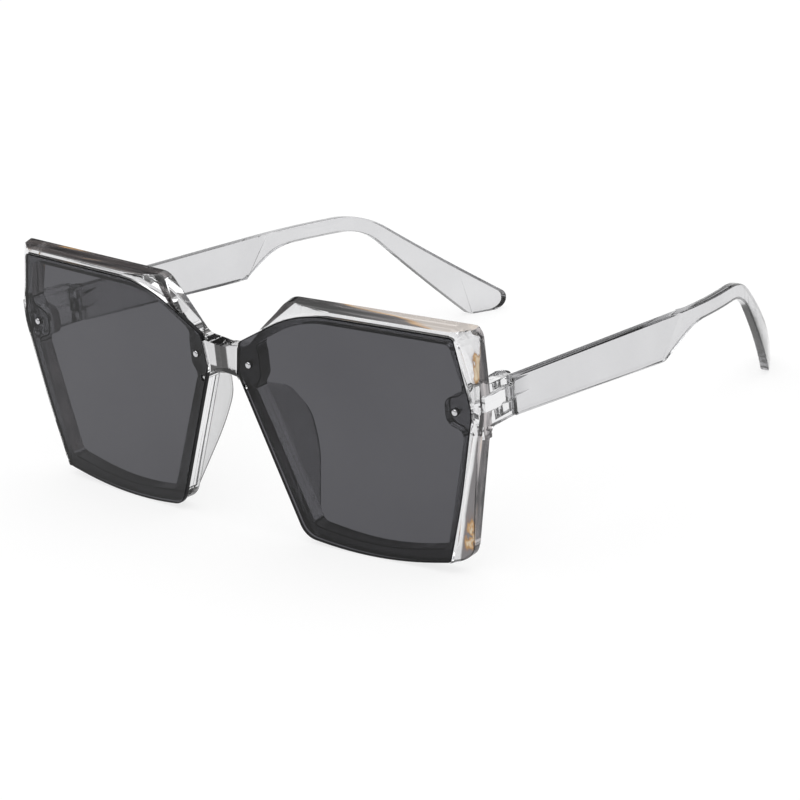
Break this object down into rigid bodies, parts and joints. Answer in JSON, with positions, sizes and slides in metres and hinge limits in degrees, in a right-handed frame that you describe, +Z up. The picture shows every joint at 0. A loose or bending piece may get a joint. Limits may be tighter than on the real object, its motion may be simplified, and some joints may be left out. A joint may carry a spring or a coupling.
{
  "type": "sunglasses",
  "caption": "Oversized square sunglasses: flat tinted lenses riveted to a clear moulded front with nose pads, and clear folding temples that hook behind the ears.",
  "frame": {"origin": "on the table, under the middle of the pair with the temples open", "axes": "+X to the wearer's left, +Y from the lenses back along the temples, +Z up"},
  "size_m": [0.1436, 0.147, 0.0574],
  "materials": {
    "clear_plastic": "gloss",
    "tinted_lens": "gloss",
    "bright_steel": "polished",
    "screw_steel": "satin"
  },
  "bodies": {
    "front": {"front_frame": "clear_plastic", "left_lens": "tinted_lens", "right_lens": "tinted_lens", "left_outer_rivet": "bright_steel", "left_inner_rivet": "bright_steel", "right_outer_rivet": "bright_steel", "right_inner_rivet": "bright_steel", "left_hinge_screw": "screw_steel", "right_hinge_screw": "screw_steel"},
    "left_arm": {"left_temple": "clear_plastic"},
    "right_arm": {"right_temple": "clear_plastic"}
  },
  "joints": [
    {"name": "left_fold", "type": "hinge", "parent": "front", "child": "left_arm", "pos_m": [0.0662, -0.0546, 0.0386], "axis": [0, 0, 1], "range_deg": [0, 83]},
    {"name": "right_fold", "type": "hinge", "parent": "front", "child": "right_arm", "pos_m": [-0.0662, -0.0546, 0.0386], "axis": [0, 0, -1], "range_deg": [0, 77]}
  ]
}
